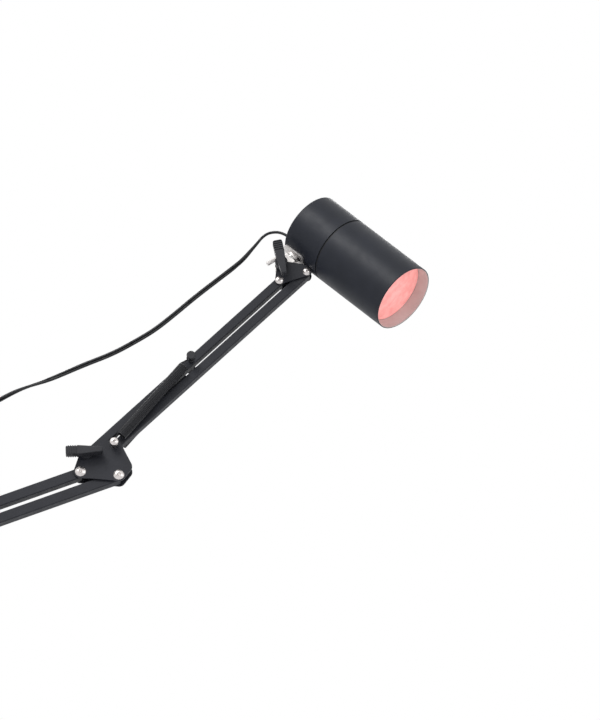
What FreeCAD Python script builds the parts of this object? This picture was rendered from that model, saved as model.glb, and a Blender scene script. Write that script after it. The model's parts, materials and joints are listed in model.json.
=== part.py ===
import FreeCAD, Part
import os
from math import acos, asin, atan2, cos, degrees, hypot, pi, radians, sin, sqrt, tan

# Heat lamp warmer: a cylindrical heat lamp on a spring-balanced parallelogram arm with a desk clamp.
# Millimetres. +Z is up, the arm lies in the XZ plane and reaches towards +X. The origin is on the
# desk's top face, in the axis of the vertical pin on which the arm swivels.

V = FreeCAD.Vector
NEAR, FAR = -1, 1  # the two sides of the arm, along Y

# ---- arm -----------------------------------------------------------------------------------------
lower_length = 300.0
lower_rest = 21.3  # degrees above the horizontal
upper_length = 303.7
upper_rest = 45.0
base_pivot_gap = (42.8, -4.0)  # from the rear pivot to the front pivot, along X and Z
elbow_pivot_gap = (30.9, 10.8)
elbow_rise = (6.5, 21.2)  # from the lower arm's rear elbow pivot to the upper arm's rear pivot
base_pivot_height = 62.0
bar_width = 11.4
lower_bar_depth = 12.0
upper_bar_depth = 10.0
bar_wall = 1.1
bar_edge = 1.2  # rounding of a tube's long edges
bar_end = 0.2  # how far a side wall's end is rounded wider than the tube
bar_notch = 0.5  # how far the upper and lower walls stop short of a pivot
pivot_clearance = 0.06
washer = 0.5
washer_radius = 5.0
plate = 2.0
head_plate = 1.6
rivet_radius = 2.5
big_head = 6.0
big_head_height = 2.3
big_hollow = 2.5
small_head = 4.7
small_head_height = 1.9
small_hollow = 1.8
hollow_depth = 1.3
knob_bolt_radius = 3.0
elbow_reach = 7.5  # rounding of the elbow plates about their pivots
elbow_corner = (50.0, 6.0)  # a further corner of the elbow plates from their rear pivot
head_corner = (25.2, 15.0)  # a further corner of the head plates from their rear pivot
head_reach = 5.0
base_reach = 7.5

# ---- springs -------------------------------------------------------------------------------------
spring_radius = 6.0
spring_wire = 1.6
spring_gap = 0.6  # between a bar's side and the spring
spring_eye = 4.3  # centre-line radius of the end loops
eye_clearance = 0.05
spring_start = 12.5  # from the bolt's axis to the first coil
spring_stop = 13.0  # from the last coil to the post's axis
post_share = 0.54  # the posts' place along the rear bars
post_radius = 3.0
post_spare = 0.5  # between a spring's outside and the cap or head that keeps it on
post_cap_radius = 5.0
post_cap = 2.5
post_cap_round = 0.8
spring_shoulder = 3.7  # radius of the spacer between a plate and a spring's eye

# ---- knobs ---------------------------------------------------------------------------------------
knob_long = 23.0  # reach of the ribbed wing
knob_short = 18.5  # reach of the plain wing
knob_shoulder = 8.6  # where the ribbed wing ends
knob_thick = 11.0
knob_thin = 6.4
knob_round = 2.4
knob_edge = 1.0
knob_bar = 9.0  # along the bolt
knob_hub_radius = 7.0
head_knob_hub = 9.0  # between a plate and the wings
elbow_knob_hub = 4.0
knob_gap = 0.3  # running gap under a knob
knob_floor = 1.0  # left between the bolt's end and the wings
rib_pitch = 2.5
rib_groove = 1.1
rib_depth = 0.8
head_knob_turn = -78.4  # degrees above +X of the plain wing
elbow_knob_turn = 2.0

# ---- lamp ----------------------------------------------------------------------------------------
tilt_place = (1.9, 19.1)  # tilt axis from the head's rear pivot
neck_rise = 44.8  # degrees of the swivel axis above +X
lamp_turn = 12.9  # swivel towards the near side
lamp_radius = 40.0
lamp_standoff = 20.0  # from the tilt axis to the lamp's skin
neck_place = 14.6  # swivel axis from the rear face
cap_length = 50.0
groove = 2.2
groove_depth = 1.2
barrel_length = 99.6
lamp_wall = 1.5
rear_wall = 2.5
lamp_edge = 1.5
lip_round = 0.6
ring_wall = 1.4
ring_length = 18.0
ring_clearance = 0.05
rib_root = 0.5  # how deep the ring's rib is set in the ring
lens_gap = 0.9
lens_recess = 12.4
lens_crown = 3.0
bulb_side = 8.0
bulb_wall = 1.2
bulb_neck_radius = 13.5
bulb_cone = 42.0
bulb_neck = 22.0
screw_cap_radius = 13.2
screw_cap = 23.0
screw_cap_chamfer = 2.0
contact_radius = 5.0
contact_cone = 4.0
contact = 2.5
contact_gap = 0.3
holder_radius = 19.0
holder_floor = 6.0
holder_clearance = 0.6
holder_edge = 1.2
holder_drop = 2.0  # how far the bulb's neck stands out of the holder
strap_width = 16.0
strap = 2.0
strap_inset = 1.0  # a strap foot's middle from the holder's side
vent_radius = 2.2
vent_count = 8
vent_circle = 30.0

# ---- head joint ----------------------------------------------------------------------------------
block_reach = 15.0  # from the tilt axis to the block's end
block_radius = 7.2
saddle = 1.8
saddle_sweep = 54.0  # degrees round the lamp
saddle_lean = 10.0  # degrees towards the near side
saddle_margin = 3.0  # from a screw's head to the strap's end
saddle_start = 1.5
saddle_round = 4.0
saddle_boss_radius = 8.0
stud_radius = 4.0
stud_clearance = 0.3  # in the rear cap
stud_start = 5.0  # from the tilt axis
wave_radius = 6.6
stud_nut = 6.0  # half the width across flats
stud_nut_height = 5.0
stud_over = 2.5
nut_clearance = 0.1
wave_washer = 1.5
saddle_screw = 1.5
saddle_screw_head = 2.9
saddle_screw_height = 0.8
saddle_screw_hollow = 1.3
saddle_screw_depth = 0.5
screw_clearance = 0.1
saddle_screw_step = 10.5  # from the swivel axis, along the lamp
saddle_screw_spread = 17.0  # degrees either side

# ---- base and clamp ------------------------------------------------------------------------------
pin_radius = 6.0
pin_stem = 4.5
pin_tip_gap = 1.0  # under the pin
pin_chamfer = 1.0
pin_head = 1.6
socket_radius = 13.0
socket_height = 34.0
socket_flare = 3.0
socket_flare_height = 5.0
swivel_washer = 1.5
washer_step = 1.0  # the swivel washer stops short of the socket's edge
washer_clearance = 0.3
bracket_floor = 2.5
bracket_half = 15.0  # half the length of the bracket's floor
jaw_pad = 1.5
jaw_pad_inset = 2.0
pad_clearance = 0.5  # between the pad and the frame's inner corner
clamp_width = 34.0
clamp_thick = 5.5
clamp_rear = 26.0
clamp_reach = 40.0
clamp_lower_reach = 16.0
clamp_opening = 66.0
clamp_corner = 9.0
jaw_round = 7.6
jaw_boss_radius = 9.0
jaw_boss = 10.0
desk = 28.0  # thickness held at rest
screw_radius = 4.0
screw_length = 82.0
screw_head = 12.0
screw_head_step = 2.0
screw_head_round = 1.0
foot_radius = 13.0
foot = 5.0
foot_round = 1.5
foot_neck = 3.0
foot_neck_wall = 3.0
foot_seat = 0.3  # between the screw's tip and the floor of its seat
foot_pad = 1.5
foot_pad_step = 0.5
cross_bar_radius = 2.4
cross_bar_length = 58.0
cross_bar_ball = 4.6
thumb_radius = 3.0
thumb_boss = 3.5  # wall of the boss
thumb_boss_height = 2.0
thumb_stand = 5.0  # from the socket to the head
thumb_gap = 0.3  # from the pin
thumb_knob_radius = 9.0
thumb_knob = 9.0
thumb_height = 17.0  # above the top jaw
flute_count = 8
flute_radius = 3.0
flute_offset = 1.6  # of a flute's axis from the head's edge

# ---- cord and what is on it ----------------------------------------------------------------------
cord_radius = 2.8  # half the width of the flat twin cord
gland_offset = (16.0, 24.0)  # from the lamp's axis, towards the arm and towards the far side
gland_length = 20.0
gland_root = 5.6
gland_waist = 4.2
gland_tip = 3.5
gland_lip = 6.6
gland_lip_height = 1.6
gland_lead = 11.6  # how far the cord runs on straight from the gland
lead_radius = 0.9
lead_spread = 1.7
lead_rise = 2.6
lead_entry = 5.0  # how far a lead runs square to the terminal block's face
terminal_size = (10.0, 14.0, 5.6)
terminal_pitch = 7.0
coil_centre = (-198.0, 16.0)
coil_radius = 31.0
coil_turns = 5
coil_columns = 3
coil_pitch = 3.4  # from turn to turn across, as the flat cord stands on edge
coil_layers = 2
coil_dip = 18.0  # how far short of the coil's middle the loose ends begin
switch_size = (56.0, 24.0, 17.0)
switch_wall = 1.8
switch_edge = 3.0
switch_place = (-110.0, 47.0)
rocker_size = (17.0, 11.0)
rocker_crown = 5.6  # ridge above the pin
rocker_end = 3.4  # ends above the pin
rocker_foot = (6.4, 4.0)  # half length and depth of the part inside
rocker_edge = 0.6
rocker_tilt = 7.0
rocker_clearance = 0.5
rocker_pin = 1.3
rocker_pin_depth = 4.0  # below the cover's top
ear = 2.0  # thickness of the cover's ears that carry the pin
cord_rest = 0.3  # gap between the desk and what lies on it
plug_size = (30.0, 21.0, 13.0)
plug_tip_x = -72.0
plug_taper = 20.0
plug_relief = (3.4, 5.0)  # radii of the taper at the cord and at the plug
plug_edge = 3.0
blade_size = (17.5, 1.5, 6.4)
blade_gap = 12.7
tie_thick = 1.0
tie_width = 12.0
tie_clearance = 0.1
tie_under = 0.2


# ---- small helpers -------------------------------------------------------------------------------
def go(point, along, angle):
    """The point of the XZ plane that lies along, at an angle in degrees above +X, from a point."""
    return (point[0] + along * cos(radians(angle)), point[1] + along * sin(radians(angle)))


def add(point, step):
    return (point[0] + step[0], point[1] + step[1])


def rod(point, radius, y0, y1):
    """A cylinder along Y through a point of the XZ plane."""
    low, high = min(y0, y1), max(y0, y1)
    return Part.makeCylinder(radius, high - low, V(point[0], low, point[1]), V(0, 1, 0))


def dome(centre, direction, radius, height):
    """A round rivet head on a flat seat."""
    ball = (radius * radius + height * height) / (2 * height)
    seat = degrees(asin((ball - height) / ball))
    return Part.makeSphere(ball, centre - direction * (ball - height), direction, seat, 90, 360)


def sheet(points, reach, y0, y1):
    """A plate in the XZ plane with rounded corners about the points."""
    ring = [V(x, 0, z) for x, z in points]
    face = Part.Face(Part.makePolygon(ring + [ring[0]])).makeOffset2D(reach, 0, False, False)
    face.translate(V(0, min(y0, y1), 0))
    return face.extrude(V(0, abs(y1 - y0), 0))


def box(x0, x1, y0, y1, z0, z1):
    return Part.makeBox(x1 - x0, y1 - y0, z1 - z0, V(x0, y0, z0))


def edges_along(shape, direction):
    """The straight edges of a shape that run along a direction."""
    found = []
    for edge in shape.Edges:
        if isinstance(edge.Curve, Part.Line):
            way = edge.Vertexes[-1].Point - edge.Vertexes[0].Point
            if way.Length > 0 and abs(way.normalize().dot(direction)) > 0.999:
                found.append(edge)
    return found


def joined(shapes):
    """Touching solids as one."""
    return shapes[0].multiFuse(shapes[1:]).removeSplitter()


def group(shapes):
    """Separate solids of one kind in one node."""
    return Part.makeCompound(shapes)


def bend(i, route):
    """The arc at a corner of the route: where it begins, its middle, where it ends, and its radius."""
    before, corner, after = route[i - 1], route[i], route[i + 1]
    back, on = before - corner, after - corner
    reach = 0.45 * min(back.Length, on.Length)
    back.normalize()
    on.normalize()
    turn = pi - acos(max(-1.0, min(1.0, back.dot(on))))
    radius = reach / tan(turn / 2)
    middle = corner + (back + on).normalize() * (radius / cos(turn / 2) - radius)
    return corner + back * reach, middle, corner + on * reach, radius


def centreline(first, last, route):
    """Lines and arcs, and the arcs' radii, from the middle of one run to the middle of a later one."""
    at = route[0] if first == 1 else (route[first - 1] + route[first]) * 0.5
    end = route[-1] if last == len(route) - 2 else (route[last] + route[last + 1]) * 0.5
    edges, radii = [], []
    for i in range(first, last + 1):
        begin, middle, leave, radius = bend(i, route)
        edges += [Part.LineSegment(at, begin).toShape(), Part.Arc(begin, middle, leave).toShape()]
        radii.append(radius)
        at = leave
    edges.append(Part.LineSegment(at, end).toShape())
    return edges, radii


def swept(edges, radius):
    """A round tube along joined edges."""
    start = edges[0].valueAt(edges[0].FirstParameter)
    way = edges[0].tangentAt(edges[0].FirstParameter)
    profile = Part.Wire(Part.makeCircle(radius, start, way))
    return Part.Wire(edges).makePipeShell([profile], True, False)


# ---- places --------------------------------------------------------------------------------------
base_rear = (-base_pivot_gap[0] / 2, base_pivot_height)
base_front = add(base_rear, base_pivot_gap)
low_rear = go(base_rear, lower_length, lower_rest)
low_front = add(low_rear, base_pivot_gap)
up_rear = add(low_rear, elbow_rise)
up_front = add(up_rear, elbow_pivot_gap)
head_rear = go(up_rear, upper_length, upper_rest)
head_front = add(head_rear, elbow_pivot_gap)
tilt_axis = add(head_rear, tilt_place)

side = bar_width / 2  # a bar's side
inner = side + washer  # a plate's inner face
outer = inner + plate
head_outer = inner + head_plate
spring_y = side + spring_gap + spring_radius
post_end = spring_y + spring_radius + post_spare

neck = V(cos(radians(neck_rise)), 0, sin(radians(neck_rise)))
ahead = V(sin(radians(neck_rise)), 0, -cos(radians(neck_rise)))
lamp_way = ahead * cos(radians(lamp_turn)) + V(0, -1, 0) * sin(radians(lamp_turn))
tilt_point = V(tilt_axis[0], 0, tilt_axis[1])
lamp_length = cap_length + groove + barrel_length
lamp_rear = tilt_point + neck * (lamp_standoff + lamp_radius) - lamp_way * neck_place


def lamp_placed(shape):
    """Moves a shape from the lamp's own frame, rear face at z 0 and x towards the arm, to its place."""
    x, z = neck * -1, lamp_way
    y = z.cross(x)
    o = lamp_rear
    frame = FreeCAD.Matrix(x.x, y.x, z.x, o.x, x.y, y.y, z.y, o.y, x.z, y.z, z.z, o.z)
    moved = shape.copy()
    moved.Placement = FreeCAD.Placement(frame).multiply(moved.Placement)
    return moved


# ---- arm -----------------------------------------------------------------------------------------
def bar(start, end, depth, start_hole, end_hole, post=None):
    """A rectangular tube between two pivots, with its upper and lower walls cut back at both."""
    length = hypot(end[0] - start[0], end[1] - start[1])
    angle = degrees(atan2(end[1] - start[1], end[0] - start[0]))
    half = depth / 2
    reach = half + bar_end
    wide = side - bar_wall
    blank = box(-reach, length + reach, -side, side, -half, half)
    blank = blank.makeFillet(bar_edge, edges_along(blank, V(1, 0, 0)))
    hollow = box(-reach - 1, length + reach + 1, -wide, wide, bar_wall - half, half - bar_wall)
    shape = blank.cut(hollow)
    for place, way in ((0, -1), (length, 1)):
        low, high = sorted((place - way * bar_notch, place + way * (reach + 1)))
        shape = shape.cut(box(low, high, -wide, wide, -half - 1, half + 1))
        low, high = sorted((place, place + way * (reach + 1)))
        stub = box(low, high, -side - 1, side + 1, -half - 1, half + 1)
        shape = shape.cut(stub.cut(rod((place, 0), reach, -side - 1, side + 1)))
    for place, radius in ((0, start_hole), (length, end_hole)):
        shape = shape.cut(rod((place, 0), radius + pivot_clearance, -side - 1, side + 1))
    if post is not None:
        shape = shape.cut(rod((post, 0), post_radius, -side - 1, side + 1))
    shape.rotate(V(0, 0, 0), V(0, 1, 0), -angle)
    shape.translate(V(start[0], 0, start[1]))
    return shape


def washers(points, hole):
    """Friction washers, one each side of a bar at each pivot."""
    rings = []
    for point, radius in zip(points, hole):
        for way in (NEAR, FAR):
            ring = rod(point, washer_radius, way * side, way * inner)
            rings.append(ring.cut(rod(point, radius, way * side, way * inner)))
    return group(rings)


def rivet_head(point, seat, way, radius, height, hollow):
    """A low domed head with the conical hollow of a semi-tubular rivet."""
    head = dome(V(point[0], way * seat, point[1]), V(0, way, 0), radius, height)
    floor = V(point[0], way * (seat + height - hollow_depth), point[1])
    return head.cut(Part.makeCone(hollow / 2, hollow, hollow_depth, floor, V(0, way, 0)))


def rivet(point, seat, radius, height, hollow):
    """A shank through both plates with a head outside each."""
    shape = rod(point, rivet_radius, -seat, seat)
    for way in (NEAR, FAR):
        shape = shape.fuse(rivet_head(point, seat, way, radius, height, hollow))
    return shape.removeSplitter()


def spring_bolt(point, seat):
    """A pivot bolt that stands out of both plates far enough to carry a spring's eye."""
    shape = rod(point, rivet_radius, -post_end, post_end)
    shoulder = spring_y - spring_wire
    for way in (NEAR, FAR):
        shape = shape.fuse(rod(point, spring_shoulder, way * seat, way * shoulder))
        shape = shape.fuse(rivet_head(point, post_end, way, small_head, small_head_height, small_hollow))
    return shape.removeSplitter()


def spring_post(point):
    """A cross post through a bar with a cap at each end that keeps the spring's eye on."""
    shape = rod(point, post_radius, -post_end, post_end)
    for way in (NEAR, FAR):
        cap = rod(point, post_cap_radius, way * post_end, way * (post_end + post_cap))
        rims = [e for e in cap.Edges if isinstance(e.Curve, Part.Circle)]
        shape = shape.fuse(cap.makeFillet(post_cap_round, rims))
    return shape.removeSplitter()


def spring(bolt, post, way):
    """A close-wound tension spring: a sleeve with closed ends and a loop pulled against each pin."""
    y = way * spring_y
    length = hypot(post[0] - bolt[0], post[1] - bolt[1])
    angle = degrees(atan2(post[1] - bolt[1], post[0] - bolt[0]))
    first, last = spring_start, length - spring_stop
    body = Part.makeCylinder(spring_radius, last - first, V(first, y, 0), V(1, 0, 0))
    bore = Part.makeCylinder(spring_radius - spring_wire, last - first - 2 * spring_wire,
                             V(first + spring_wire, y, 0), V(1, 0, 0))
    shape = body.cut(bore)
    wire = spring_wire / 2
    for pin, radius, body_end, towards in ((0, rivet_radius, first, 1), (length, post_radius, last, -1)):
        centre = pin + towards * (spring_eye - wire - radius - eye_clearance)
        loop = Part.makeTorus(spring_eye, wire, V(centre, y, 0), V(0, 1, 0))
        low, high = sorted((centre + towards * spring_eye, body_end))
        shape = joined([shape, loop, Part.makeCylinder(wire, high - low, V(low, y, 0), V(1, 0, 0))])
    shape.rotate(V(0, 0, 0), V(0, 1, 0), -angle)
    shape.translate(V(bolt[0], 0, bolt[1]))
    return shape


def springs(bolt, post):
    return group([spring(bolt, post, way) for way in (NEAR, FAR)])


def knob(point, seat, hub, turn):
    """A wing knob on the near side: a hub under a bar with a thick ribbed wing and a thin plain one."""
    face = seat - knob_gap
    under, top = face - hub, face - hub - knob_bar
    thick, thin = knob_thick / 2 - knob_round, knob_thin / 2 - knob_round
    corners = [(knob_round - knob_long, -thick), (-knob_shoulder, -thick), (knob_short - knob_round, -thin),
               (knob_short - knob_round, thin), (-knob_shoulder, thick), (knob_round - knob_long, thick)]
    grip = sheet(corners, knob_round, under, top)
    grip = grip.makeFillet(knob_edge, [e for e in grip.Edges if abs(e.CenterOfMass.y - top) < 0.01])
    core = knob_thick / 2 - rib_depth
    core = box(-knob_long, 0, top + rib_depth, under + 1, -core, core)
    for k in range(int((knob_long - knob_shoulder) / rib_pitch)):
        start = rib_pitch * (k + 1) - rib_groove - knob_long
        cut = box(start, start + rib_groove, top - 1, under, -knob_thick, knob_thick)
        grip = grip.cut(cut.cut(core))
    grip.rotate(V(0, 0, 0), V(0, 1, 0), -turn)
    grip.translate(V(point[0], 0, point[1]))
    blind = rod(point, knob_bolt_radius + pivot_clearance, face + 1, face - hub)
    return joined([rod(point, knob_hub_radius, face, under), grip]).cut(blind)


def knob_bolt(point, seat, hub):
    """The bolt of a wing knob, with a round head on the far side."""
    shank = rod(point, knob_bolt_radius, -seat - knob_gap - hub + knob_floor, seat)
    head = dome(V(point[0], seat, point[1]), V(0, 1, 0), big_head, big_head_height)
    return shank.fuse(head).removeSplitter()


def plates(corners, reach, thickness, holes):
    """A near and a far plate with the same holes."""
    pair = []
    for way in (NEAR, FAR):
        shape = sheet(corners, reach, way * inner, way * (inner + thickness))
        for point, radius in holes:
            shape = shape.cut(rod(point, radius, way * inner, way * (inner + thickness)))
        pair.append(shape)
    return group(pair)


def elbow_plates():
    corners = [low_rear, low_front, add(low_rear, elbow_corner), up_front, up_rear]
    holes = [(point, rivet_radius) for point in (low_rear, low_front, up_front)]
    holes.append((up_rear, knob_bolt_radius))
    return plates(corners, elbow_reach, plate, holes)


def head_plates():
    corners = [head_rear, head_front, add(head_rear, head_corner), tilt_axis]
    holes = [(head_rear, rivet_radius), (head_front, rivet_radius), (tilt_axis, knob_bolt_radius)]
    return plates(corners, head_reach, head_plate, holes)


# ---- base and clamp ------------------------------------------------------------------------------
clamp_top = jaw_pad + clamp_thick
socket_top = clamp_top + socket_height
bracket_base = socket_top + swivel_washer
jaw_low = jaw_pad - clamp_opening
foot_top = -desk


def base_bracket():
    """A bent steel fork: two cheeks that carry the lower arm's pivots, and a floor between them."""
    half = bracket_half
    corners = [base_rear, (-half, bracket_base + base_reach), (half, bracket_base + base_reach), base_front]
    holes = [(base_rear, rivet_radius), (base_front, rivet_radius)]
    cheeks = plates(corners, base_reach, plate, holes).Solids
    floor = box(-half, half, -outer, outer, bracket_base, bracket_base + bracket_floor)
    hole = Part.makeCylinder(pin_stem, bracket_floor, V(0, 0, bracket_base), V(0, 0, 1))
    return joined(cheeks + [floor]).cut(hole)


def base_pin():
    """The vertical pin, riveted into the bracket's floor."""
    low = clamp_top + pin_tip_gap
    shank = Part.makeCylinder(pin_radius, bracket_base - low, V(0, 0, low), V(0, 0, 1))
    shank = shank.makeChamfer(pin_chamfer, [e for e in shank.Edges if abs(e.BoundBox.ZMax - low) < 0.01])
    stem = Part.makeCylinder(pin_stem, bracket_floor, V(0, 0, bracket_base), V(0, 0, 1))
    head = dome(V(0, 0, bracket_base + bracket_floor), V(0, 0, 1), pin_radius, pin_head)
    return joined([shank, stem, head])


def clamp_frame():
    """One cast C with the socket for the pin above and the screw's boss below."""
    half = clamp_width / 2
    back = clamp_rear - clamp_thick
    top = box(-clamp_reach, clamp_rear, -half, half, jaw_pad, clamp_top)
    low = box(-clamp_lower_reach, clamp_rear, -half, half, jaw_low - clamp_thick, jaw_low)
    spine = box(back, clamp_rear, -half, half, jaw_low - clamp_thick, clamp_top)
    shape = joined([top, low, spine])
    outer_corners = [e for e in edges_along(shape, V(0, 1, 0)) if e.CenterOfMass.x > clamp_rear - 0.01]
    shape = shape.makeFillet(clamp_corner, outer_corners)
    inner_corners = [e for e in edges_along(shape, V(0, 1, 0)) if abs(e.CenterOfMass.x - back) < 0.01]
    shape = shape.makeFillet(clamp_corner - clamp_thick, inner_corners)
    jaw_tips = [e for e in edges_along(shape, V(0, 0, 1)) if e.CenterOfMass.x < back - 1]
    shape = shape.makeFillet(jaw_round, jaw_tips)
    socket = Part.makeCylinder(socket_radius, socket_height, V(0, 0, clamp_top), V(0, 0, 1))
    flare = Part.makeCone(socket_radius + socket_flare, socket_radius, socket_flare_height,
                          V(0, 0, clamp_top), V(0, 0, 1))
    level = (0, clamp_top + thumb_height)
    side_boss = rod(level, thumb_radius + thumb_boss, -socket_radius - thumb_boss_height, -pin_radius)
    boss = Part.makeCylinder(jaw_boss_radius, jaw_boss, V(0, 0, jaw_low - clamp_thick - jaw_boss), V(0, 0, 1))
    shape = joined([shape, socket, flare, side_boss, boss])
    bore = Part.makeCylinder(pin_radius + pivot_clearance, socket_height, V(0, 0, clamp_top), V(0, 0, 1))
    thread = Part.makeCylinder(screw_radius + pivot_clearance, clamp_thick + jaw_boss,
                               V(0, 0, jaw_low - clamp_thick - jaw_boss), V(0, 0, 1))
    side_thread = rod(level, thumb_radius + pivot_clearance, -socket_radius - thumb_boss_height - 1, 0)
    return shape.cut(bore).cut(thread).cut(side_thread)


def jaw_pad_shape():
    half = clamp_width / 2 - jaw_pad_inset
    end = clamp_rear - clamp_corner - pad_clearance
    pad = box(jaw_pad_inset - clamp_reach, end, -half, half, 0, jaw_pad)
    return pad.makeFillet(4, edges_along(pad, V(0, 0, 1)))


def clamp_foot():
    """The steel cup that the screw turns in."""
    low = foot_top - foot_pad - foot
    cup = Part.makeCylinder(foot_radius, foot, V(0, 0, low), V(0, 0, 1))
    cup = cup.makeFillet(foot_round, [e for e in cup.Edges if abs(e.BoundBox.ZMax - low) < 0.01])
    neck_low = V(0, 0, low - foot_neck)
    neck_ring = Part.makeCylinder(screw_radius + foot_neck_wall, foot_neck, neck_low)
    seat = Part.makeCylinder(screw_radius + pivot_clearance, foot_neck + foot / 2, neck_low)
    return joined([cup, neck_ring]).cut(seat)


def foot_pad_shape():
    return Part.makeCylinder(foot_radius - foot_pad_step, foot_pad, V(0, 0, foot_top - foot_pad), V(0, 0, 1))


screw_tip = foot_top - foot_pad - foot / 2 - foot_seat
cross_bar_height = screw_tip - screw_length + screw_head / 2


def clamp_screw():
    """The spindle, with a drilled head and the cross bar that is held in it."""
    shank = Part.makeCylinder(screw_radius, screw_length, V(0, 0, screw_tip - screw_length), V(0, 0, 1))
    head = Part.makeCylinder(screw_radius + screw_head_step, screw_head, V(0, 0, screw_tip - screw_length))
    head = head.makeFillet(screw_head_round, [e for e in head.Edges if isinstance(e.Curve, Part.Circle)])
    spindle = joined([shank, head]).cut(rod((0, cross_bar_height), cross_bar_radius, -screw_head, screw_head))
    half = cross_bar_length / 2
    handle = rod((0, cross_bar_height), cross_bar_radius, -half, half)
    for way in (NEAR, FAR):
        handle = handle.fuse(Part.makeSphere(cross_bar_ball, V(0, way * half, cross_bar_height)))
    return group([spindle, handle.removeSplitter()])


def thumbscrew():
    """The side screw that locks the pin, with a fluted head."""
    level = (0, clamp_top + thumb_height)
    seat = -socket_radius - thumb_stand
    head = rod(level, thumb_knob_radius, seat, seat - thumb_knob)
    for k in range(flute_count):
        flute = go(level, thumb_knob_radius + flute_offset, 360 / flute_count * k)
        head = head.cut(rod(flute, flute_radius, seat + 1, seat - thumb_knob - 1))
    return joined([rod(level, thumb_radius, -pin_radius - thumb_gap, seat), head])


# ---- lamp ----------------------------------------------------------------------------------------
def ring_solid(outer_radius, inner_radius, z0, z1):
    whole = Part.makeCylinder(outer_radius, z1 - z0, V(0, 0, z0))
    return whole.cut(Part.makeCylinder(inner_radius, z1 - z0, V(0, 0, z0)))


def radial(radius, angle, z, start, end):
    """A cylinder that points out of the lamp's side, at an angle from the arm's side."""
    way = V(cos(radians(angle)), sin(radians(angle)), 0)
    return Part.makeCylinder(radius, end - start, V(0, 0, z) + way * start, way)


screw_place = neck_place + saddle_screw_step
saddle_length = screw_place + saddle_screw_head + saddle_margin - saddle_start
screw_angles = [saddle_lean - saddle_screw_spread, saddle_lean + saddle_screw_spread]
ring_outer = lamp_radius - lamp_wall - ring_clearance
gland_base = V(gland_offset[0], gland_offset[1], 0)
boss_height = lamp_standoff - block_reach - wave_washer
through_wall = (lamp_radius - 3 * lamp_wall, lamp_radius + boss_height + saddle)


def rear_cap():
    shape = Part.makeCylinder(lamp_radius, cap_length)
    shape = shape.makeFillet(lamp_edge, [e for e in shape.Edges if e.BoundBox.ZMax < 0.01])
    shape = shape.cut(Part.makeCylinder(lamp_radius - lamp_wall, cap_length, V(0, 0, rear_wall)))
    shape = shape.cut(radial(stud_radius + stud_clearance, 0, neck_place, *through_wall))
    for angle in screw_angles:
        shape = shape.cut(radial(saddle_screw, angle, screw_place, *through_wall))
    shape = shape.cut(Part.makeCylinder(gland_waist, rear_wall, gland_base))
    for k in range(vent_count):
        angle = radians(360 * (k + 0.5) / vent_count)
        spot = V(vent_circle * cos(angle), vent_circle * sin(angle), 0)
        if (spot - gland_base).Length > gland_lip + vent_radius + 1:
            shape = shape.cut(Part.makeCylinder(vent_radius, rear_wall, spot))
    return shape


def joining_ring():
    """The spigot that the cap and the barrel both slide on; its rib shows as the groove."""
    middle = cap_length + groove / 2
    shape = ring_solid(ring_outer, ring_outer - ring_wall, middle - ring_length / 2, middle + ring_length / 2)
    rib = ring_solid(lamp_radius - groove_depth, ring_outer - rib_root, cap_length, cap_length + groove)
    return shape.fuse(rib).removeSplitter()


def barrel():
    start = cap_length + groove
    shape = ring_solid(lamp_radius, lamp_radius - lamp_wall, start, lamp_length)
    lip = [e for e in shape.Edges if e.BoundBox.ZMin > lamp_length - 0.01]
    return shape.makeFillet(lip_round, lip)


lens_radius = lamp_radius - lamp_wall - lens_gap
lens_z = lamp_length - lens_recess  # the crown of the lens
lens_rim = lens_z - lens_crown


def turned(points):
    """A solid turned about the lamp's axis from (radius, z) points."""
    ring = [V(r, 0, z) for r, z in points]
    return Part.Face(Part.makePolygon(ring + [ring[0]])).revolve(V(0, 0, 0), V(0, 0, 1), 360)


def bulb_lens():
    """The stippled red front of the bulb: a shallow dome over a short skirt."""
    ball = (lens_radius ** 2 + lens_crown ** 2) / (2 * lens_crown)
    crown = Part.makeSphere(ball, V(0, 0, lens_z - ball)).common(
        Part.makeCylinder(lens_radius, lens_crown + 1, V(0, 0, lens_rim)))
    skirt = Part.makeCylinder(lens_radius, bulb_wall, V(0, 0, lens_rim - bulb_wall))
    return joined([crown, skirt])


def bulb_envelope():
    """The reflector glass behind the lens."""
    rim = lens_rim - bulb_wall
    a, b, c = rim - bulb_side, rim - bulb_side - bulb_cone, rim - bulb_side - bulb_cone - bulb_neck
    r, n = lens_radius, bulb_neck_radius
    w, lift = bulb_wall, bulb_wall / 2
    outside = [(r, rim), (r, a), (n, b), (n, c)]
    return turned(outside + [(n - w, c), (n - w, b + lift), (r - w, a + lift), (r - w, rim)])


neck_end = lens_rim - bulb_wall - bulb_side - bulb_cone - bulb_neck


def bulb_screw_cap():
    shell = Part.makeCylinder(screw_cap_radius, screw_cap, V(0, 0, neck_end - screw_cap))
    low = neck_end - screw_cap - contact_cone
    cone = Part.makeCone(contact_radius, screw_cap_radius - screw_cap_chamfer, contact_cone, V(0, 0, low))
    return joined([shell, cone, Part.makeCylinder(contact_radius, contact, V(0, 0, low - contact))])


holder_top = neck_end - holder_drop
socket_floor = neck_end - screw_cap - contact_cone - contact - contact_gap
holder_seat = socket_floor - holder_floor


def lampholder():
    shape = Part.makeCylinder(holder_radius, holder_top - holder_seat, V(0, 0, holder_seat))
    shape = shape.makeFillet(holder_edge, shape.Edges)
    return shape.cut(Part.makeCylinder(screw_cap_radius + holder_clearance, holder_top - socket_floor,
                                       V(0, 0, socket_floor)))


def holder_strap():
    """A folded strap that stands the holder off the rear wall."""
    half = strap_width / 2
    top = box(-half, half, -holder_radius, holder_radius, holder_seat - strap, holder_seat)
    feet = [box(-half, half, y - strap / 2, y + strap / 2, rear_wall, holder_seat - strap)
            for y in (strap_inset - holder_radius, holder_radius - strap_inset)]
    return joined([top] + feet)


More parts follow.
